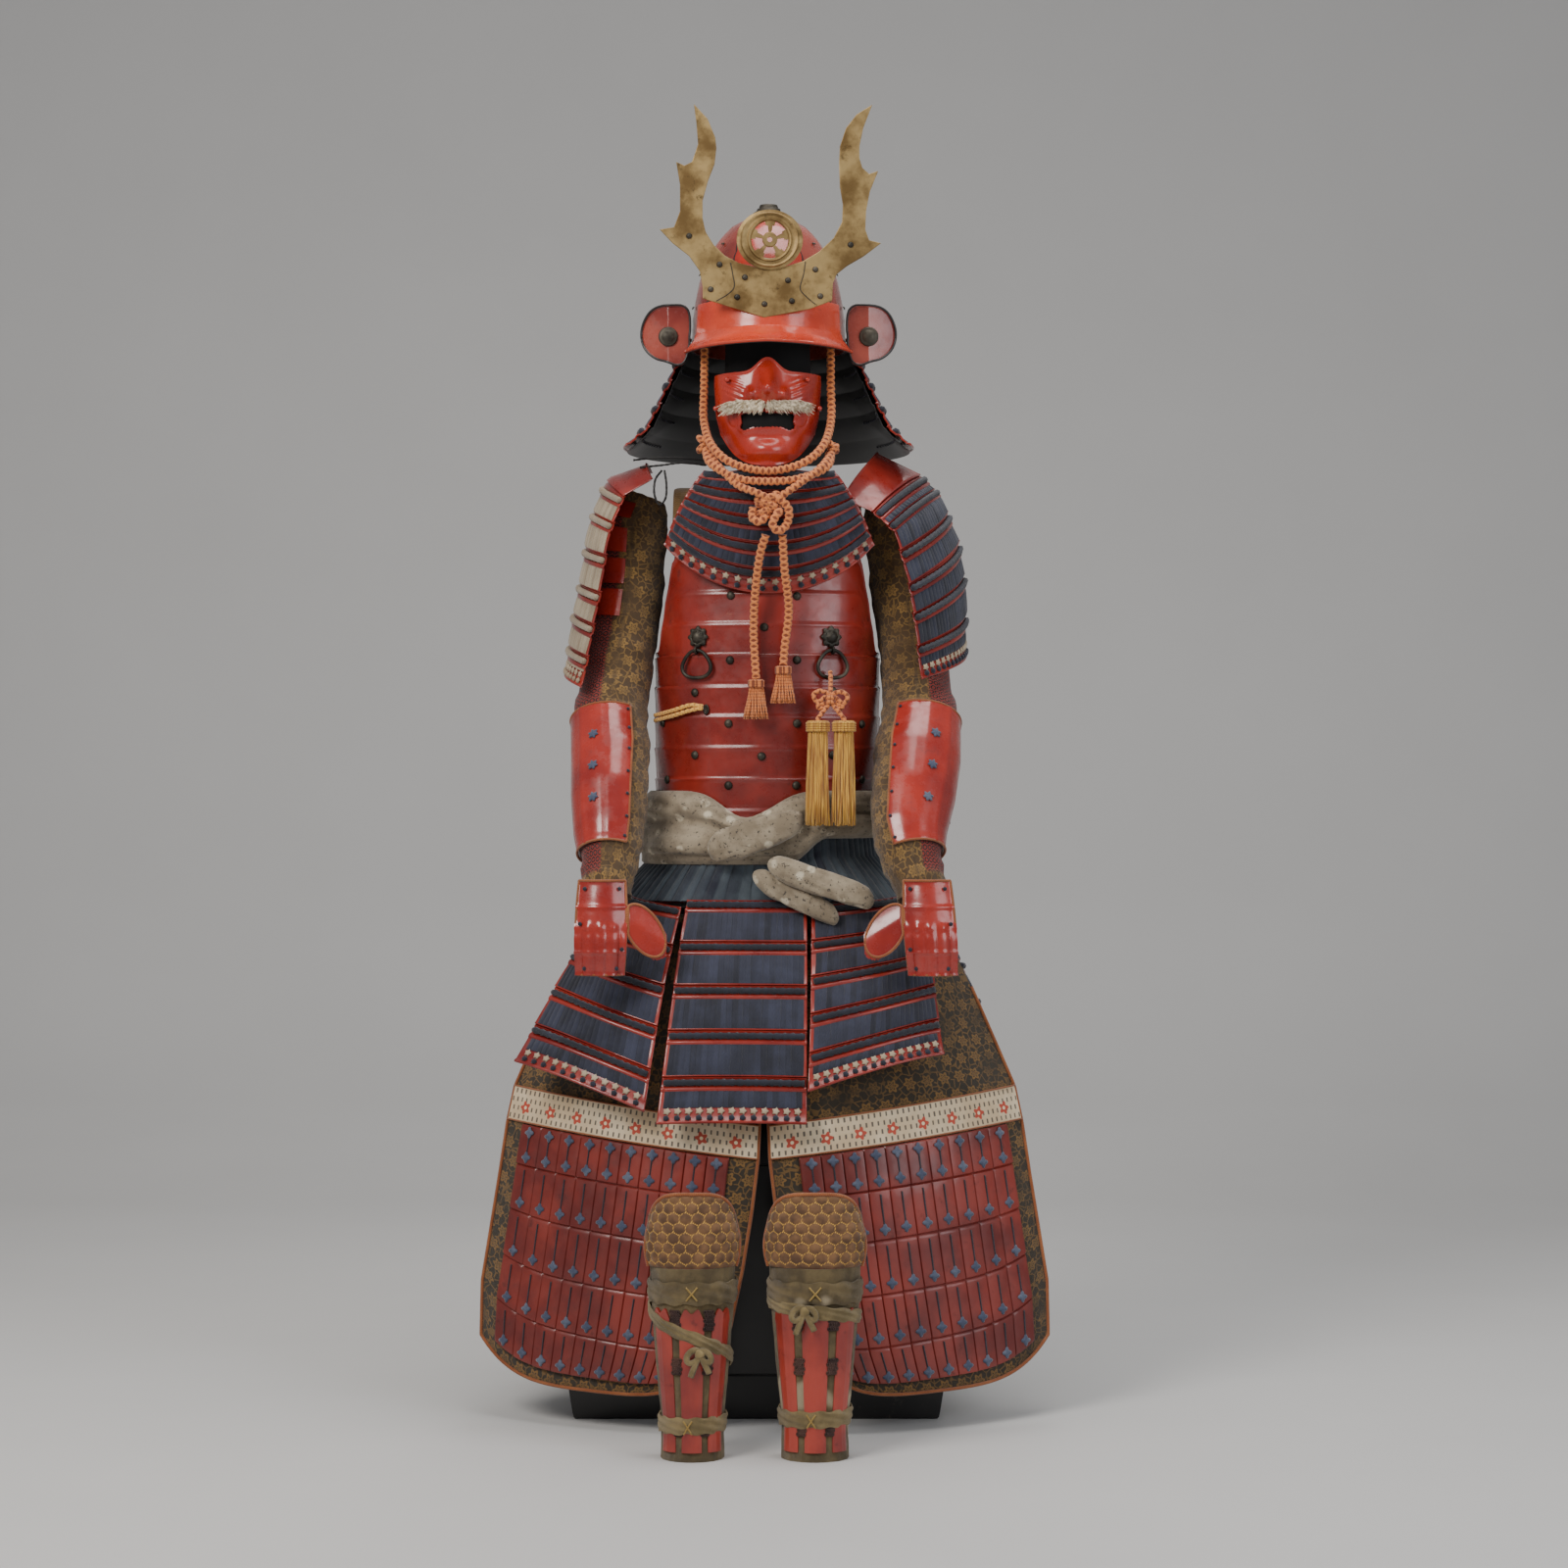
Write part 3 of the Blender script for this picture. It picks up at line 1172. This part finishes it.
def sleeve_points(side, place, degrees, out=0.0):
    """Points of a sleeve: rings square to its middle line, the angle running from its front outwards."""
    sign = -1 if side == "left" else 1
    rows = np.arange(len(ARM[side]))
    middle = point(
        sign * column(ARM[side], "x"), column(ARM[side], "y"), column(ARM[side], "z")
    )
    down = unit(np.gradient(middle, axis=0))
    outwards = np.array((sign, 0.0, 0.0)) - down * (down[:, :1] * sign)
    outwards = unit(outwards)
    ahead = unit(np.array((0.0, -1.0, 0.0)) + down * down[:, 1:2])
    ahead = unit(ahead - outwards * np.sum(ahead * outwards, axis=1, keepdims=True))

    def at(values):
        return np.stack([np.interp(place, rows, values[:, k]) for k in range(3)], axis=-1)

    radius = np.interp(place, rows, column(ARM[side], "radius"))[..., None, None] + np.asarray(out)[..., None]
    turn = np.radians(degrees)[None, :, None]
    centre = at(middle)[:, None, :]
    spots = centre + radius * (np.cos(turn) * at(ahead)[:, None, :] + np.sin(turn) * at(outwards)[:, None, :])
    return spots, centre


def make_sleeve(side):
    """The sleeve of brocade and mail, open at the shoulder and the wrist."""
    place = np.arange(len(ARM[side]), dtype=float)
    degrees = np.arange(0, 360, 360 / SLEEVE_COLUMNS)
    base, centre = sleeve_points(side, place, degrees)
    wall(f"sleeve_{side}", base, "brocade", centre, closed=True)


def make_forearm_guard(side):
    """The splinted plate sewn over the outside of the forearm, with a raised middle seam."""
    place = np.array(FOREARM_PLACES)
    relief = column(FOREARM_COLUMNS, "relief")
    degrees = column(FOREARM_COLUMNS, "degrees")
    base, centre = sleeve_points(side, place, degrees, out=np.array([PLATE + GAP + SEWN_STAND]))
    wall(f"forearm_guard_{side}", base, "red_lacquer", centre, thickness=PLATE, relief=relief[None, :])


def make_hand_guard(side):
    """The plate over the back of the hand with the smaller thumb plate hung beside it."""
    sign = -1 if side == "left" else 1
    down = np.array([0.0, 0.12, 0.30, 0.48, 0.66, 0.84, 1.0])[:, None]
    sideways = np.array([1.0, 0.6, 0.2, -0.2, -0.6, -1.0, -1.25, -1.85, -2.35])[None, :]
    thumb = np.clip(-sideways - 1, 0, None)
    middle = across(HAND[side]["x"], HAND[side]["bottom_x"], down)
    half = HAND_HALF_WIDTH * (0.92 + 0.08 * np.sin(math.pi * down))
    x = middle + half * np.clip(sideways, -1, 1) - THUMB_REACH * thumb / 1.35
    z = HAND_TOP + (HAND_BOTTOM - HAND_TOP) * down - THUMB_DROP * thumb
    arch = 0.014 * np.sin(math.pi * down * 0.75)
    y = HAND[side]["y"] - arch + 0.012 * np.clip(sideways, -1, 1) ** 2 + 0.004 * thumb
    base = point(sign * x, y, z)
    relief = np.array([0.0, 0.0, 0.0015, 0.0015, 0.0025, 0.0, 0.0])[:, None]
    keep = np.ones((6, 8), bool)
    keep[:, 5:] = False
    keep[1:4, 5:] = True
    inside = (sign * 0.21, 0.1, 0.66)
    wall(f"hand_guard_{side}", base, "red_lacquer", inside, thickness=PLATE, relief=relief, keep=keep)


def make_shoulder_guard(side):
    """The broad guard over the shoulder: a top plate and six laced lames, bowed round the arm."""
    table = SHOULDER_GUARD[side]
    rows = np.arange(len(table))
    edges = np.concatenate([[0.0], np.linspace(1, len(table) - 1, SHOULDER_LAMES + 1)])
    places, relief = lame_rows(edges, 0.0, LIP)
    relief[:2] = 0.0

    def edge(name):
        values = point(column(table, name + "_x"), column(table, name + "_y"), column(table, name + "_z"))
        return np.stack([np.interp(places, rows, values[:, k]) for k in range(3)], axis=1)[:, None, :]

    share = np.linspace(0, 1, 6)[None, :, None]
    flat = across(edge("front"), edge("rear"), share)
    inside = (-0.10 if side == "left" else 0.10, 0.06, 1.10)
    bow = SHOULDER_BOW * 4 * share * (1 - share)
    base = flat + outward(flat, inside, False) * bow
    wall(f"shoulder_guard_{side}", base, "red_lacquer", inside, thickness=PLATE, relief=relief[:, None])


# Waist


def skirt_points(angle, z, out=0.0):
    """The lacing between the cuirass and the tassets."""
    wide = read(SKIRT, "z", "half_width", z) + out
    deep = read(SKIRT, "z", "half_depth", z) + out
    x, y = oval(angle, wide, deep, TORSO_POWER)
    return point(TORSO_X + x, TORSO_Y + y, z)


def make_skirt():
    """The hanging laces that carry the tassets, as one fluted sheet all round."""
    angle = np.linspace(-math.pi, math.pi, 24, endpoint=False)
    angle, z = np.meshgrid(angle, column(SKIRT, "z"))
    wall("lacing_skirt", skirt_points(angle, z), "blue_lacing", (TORSO_X, TORSO_Y, 0.75), closed=True)


def sash_rings(angle, drop):
    """Where the sash lies before its rolls are raised, between its dipping top edge and its bottom edge."""
    x = read(TORSO, "z", "half_width", 0.80) * np.sin(angle)
    ahead = np.cos(angle) > 0
    top = SASH_TOP - SASH_DIP * np.exp(-(((x - SASH_DIP_X) / 0.038) ** 2)) * ahead
    bottom = SASH_BOTTOM + SASH_RISE * smooth_step((x - 0.02) / 0.05) * ahead
    z = across(top, bottom, drop)
    body = torso_points(angle, np.maximum(z, CUIRASS_BOTTOM), CLOTH + SASH_CLEAR)
    lace = skirt_points(angle, np.minimum(z, CUIRASS_BOTTOM), CLOTH + SASH_CLEAR)
    base = np.where((z > CUIRASS_BOTTOM)[..., None], body, lace)
    base[..., 2] = z
    return base


def make_sash():
    """The thick sash wound round the waist in two rolls."""
    angle = np.linspace(-math.pi, math.pi, 24, endpoint=False)
    angle, drop = np.meshgrid(angle, column(SASH, "drop"))
    bulge = column(SASH, "bulge")[:, None] * (1 + 0.15 * np.sin(5 * angle + 6 * drop))
    inside = (TORSO_X, TORSO_Y, 0.79)
    wall("sash_band", sash_rings(angle, drop), "sash_cloth", inside, relief=bulge, closed=True)
    sausage("sash_knot", SASH_KNOT, "sash_cloth", sides=10)
    for name, table in SASH_TAIL.items():
        sausage(f"sash_tail_{name}", table, "sash_cloth", sides=10)


def make_tasset(place):
    """A tasset: five laced lames that hang from the skirt and spread outwards."""
    row = TASSETS[place]
    places, relief = lame_rows(np.linspace(0, 1, TASSET_LAMES + 1), 0.0, LIP)
    share = np.linspace(0, 1, row["columns"])
    angle = np.radians(across(row["from_degrees"], row["to_degrees"], share))
    top_z = across(row["top_left_z"], row["top_right_z"], share)
    top = skirt_points(angle, np.maximum(top_z, SKIRT[-1]["z"]), PLATE + GAP + row["stand"])
    top[:, 2] = top_z
    left = np.array((row["left_x"], row["left_y"], row["left_z"]))
    right = np.array((row["right_x"], row["right_y"], row["right_z"]))
    bottom = across(left, right, share[:, None])
    base = across(top[None, :, :], bottom[None, :, :], places[:, None, None])
    middle = (TORSO_X, TORSO_Y, 0.56)
    swell = row["bow"] * 4 * share * (1 - share) * places[:, None] + 0.010 * np.sin(math.pi * places)[:, None]
    base = base + outward(base, middle, False) * swell[..., None]
    wall(f"tasset_{place}", base, "red_lacquer", middle, thickness=PLATE, relief=relief[:, None])


# Legs


def thigh_points(side, place, share, out=0.0):
    """Points of a thigh guard: across from its inner to its outer edge, and down its rows."""
    sign = -1 if side == "left" else 1
    rows = np.arange(len(THIGH_CLOTH))

    def at(name):
        return np.interp(place, rows, column(THIGH_CLOTH, name))

    x = across(at("inner_x"), at("outer_x"), share)
    sag = THIGH_SAG * (1 - np.abs(2 * share - 1) ** 4) * smooth_step((place - 4) / 4)
    z = across(at("inner_z"), at("outer_z"), share) - sag
    rounded = np.sqrt(np.clip(1 - (x / WAIST_BOARD["half_width"]) ** 2, 0, 1))
    hung = WAIST_BOARD["y"] - WAIST_BOARD["half_depth"] * rounded - CLOTH - GAP - BOARD_STAND
    swept = across(at("front_y"), at("back_y"), share**THIGH_SWEEP)
    y = across(hung, swept, np.minimum(place, 1))
    base = point(sign * x, y, z)
    return base + outward(base, (0, 0.2, 0.3), False) * out


def make_thigh_guard(side):
    """The apron half: brocade cloth with a printed leather band and a field of splints sewn on it."""
    inside = (0, 0.2, 0.3)
    share, place = np.meshgrid(THIGH_SHARES, np.arange(len(THIGH_CLOTH), dtype=float))
    wall(f"thigh_cloth_{side}", thigh_points(side, place, share), "brocade", inside)
    share, place = np.meshgrid(THIGH_SHARES, (BAND_TOP, BAND_BOTTOM))
    band = thigh_points(side, place, share, out=PLATE + GAP + BAND_STAND)
    wall(f"thigh_band_{side}", band, "printed_leather", inside, thickness=PLATE, relief=0.0)
    plate = np.arange(SPLINT_COLUMNS)
    pitch = (SPLINT_TO - SPLINT_FROM) / SPLINT_COLUMNS
    columns = np.stack([plate + 0.04, plate + 1.0], axis=1).ravel() * pitch + SPLINT_FROM
    rise = np.tile([0.0, SPLINT_RAISE], SPLINT_COLUMNS)
    places, relief = lame_rows(np.linspace(SPLINT_TOP, SPLINT_BOTTOM, SPLINT_ROWS + 1), 0.0, SPLINT_RAISE)
    share, place = np.meshgrid(columns, places)
    field = thigh_points(side, place, share, out=PLATE + GAP + SEWN_STAND)
    wall(
        f"thigh_splints_{side}", field, "red_lacquer", inside,
        thickness=PLATE, relief=relief[:, None] + rise[None, :],
    )


def shin_points(side, degrees, z):
    """The shin guard's plain surface."""
    wide = read(SHIN_PROFILE, "z", "half_width", z) * SHIN[side]["wide"]
    deep = read(SHIN_PROFILE, "z", "half_depth", z)
    x, y = oval(np.radians(degrees), wide, deep, 2.1)
    return point(SHIN[side]["x"] + x, SHIN_Y + y, z)


def make_shin_guard(side):
    """The shin guard: cloth with three raised splints and a strap, open at the back, standing on its hem."""
    edge = SPLINT_HALF_ANGLE
    degrees = [-SHIN_WRAP, -84.0]
    rise = [0.0, 0.0]
    for middle in SPLINT_ANGLES:
        degrees += [middle - edge - 2, middle - edge, middle + edge, middle + edge + 2]
        rise += [0.0, SHIN_SPLINT_RAISE, SHIN_SPLINT_RAISE, 0.0]
    degrees += [84.0, SHIN_WRAP]
    rise += [0.0, 0.0]
    turn, z = np.meshgrid(degrees, column(SHIN_PROFILE, "z"))
    relief = np.maximum(np.array(rise)[None, :], column(SHIN_PROFILE, "strap")[:, None])
    middle = (SHIN[side]["x"], SHIN_Y, 0.12)
    wall(f"shin_guard_{side}", shin_points(side, turn, z), "leg_cloth", middle, relief=relief)


def make_knee_pad(side):
    """The quilted knee pad that stands on the shin guard's top edge."""
    row = SHIN[side]
    share, drop = np.meshgrid(np.linspace(-1, 1, KNEE_COLUMNS), np.linspace(0, 1, KNEE_ROWS))
    rounding = 0.040 * np.abs(share) ** 3.5
    z = KNEE_TOP - (KNEE_TOP - KNEE_BOTTOM) * drop - rounding * (1 - drop)
    half = KNEE_HALF_WIDTH * row["wide"] * (0.93 + 0.07 * np.sin(math.pi * (1 - drop)))
    angle = np.radians(72) * share
    x = row["x"] + half * np.sin(angle) / math.sin(math.radians(72))
    y = SHIN_Y - 0.0385 * np.cos(angle) + 0.014 * (1 - drop) ** 2 - 0.001
    base = point(x, y, z)
    lane = np.arange(KNEE_COLUMNS)[None, :] + np.arange(KNEE_ROWS)[:, None]
    inner = (np.abs(share) < 0.99) & (drop > 0.01) & (drop < 0.99)
    relief = QUILT * ((lane % 2 == 0) & inner)
    wall(f"knee_pad_{side}", base, "leg_cloth", (row["x"], SHIN_Y + 0.05, 0.28), relief=relief)


# Chin cord


def make_chin_cord():
    """The braided cord round the chin, its main knot, and two tails that end in tufts."""
    cord("chin_cord", CHIN_CORD, CORD, "orange_cord")
    spindle("chin_knot", CHIN_KNOT, "orange_cord", x=CHIN_KNOT_X, y=CHIN_KNOT_Y)
    for side, route in CHIN_TAIL.items():
        cord(f"chin_tail_{side}", route, CORD, "orange_cord")
        row = TUFT[side]
        make_strands(
            f"chin_tuft_{side}", row["x"], row["y"], row["top"] - GAP, row["bottom"], 0.0100,
            row["top"] - 0.010, row["spread"], "orange_cord", rings=2, sectors=8,
        )


def clear_scene():
    """Takes away whatever the scene held."""
    for thing in list(bpy.data.objects):
        bpy.data.objects.remove(thing, do_unlink=True)


def make_suit():
    """Every piece, from the chest up."""
    make_chest()
    make_stand()
    make_bowl()
    make_peak()
    make_top_fitting()
    make_neck_guard()
    make_crest()
    make_crest_disc()
    make_mask()
    make_moustache()
    make_throat_guard()
    make_cuirass("cuirass_front", 0, CHEST_TOP, 13)
    make_cuirass("cuirass_back", 180, BACK_TOP, 11)
    make_chest_tassels()
    make_skirt()
    make_sash()
    for place in TASSETS:
        make_tasset(place)
    for side in ("left", "right"):
        make_turnback(side)
        make_strap(side)
        make_rosette(side)
        make_ring(side)
        make_shoulder_guard(side)
        make_sleeve(side)
        make_forearm_guard(side)
        make_hand_guard(side)
        make_thigh_guard(side)
        make_shin_guard(side)
        make_knee_pad(side)
    make_chin_cord()


clear_scene()
make_suit()
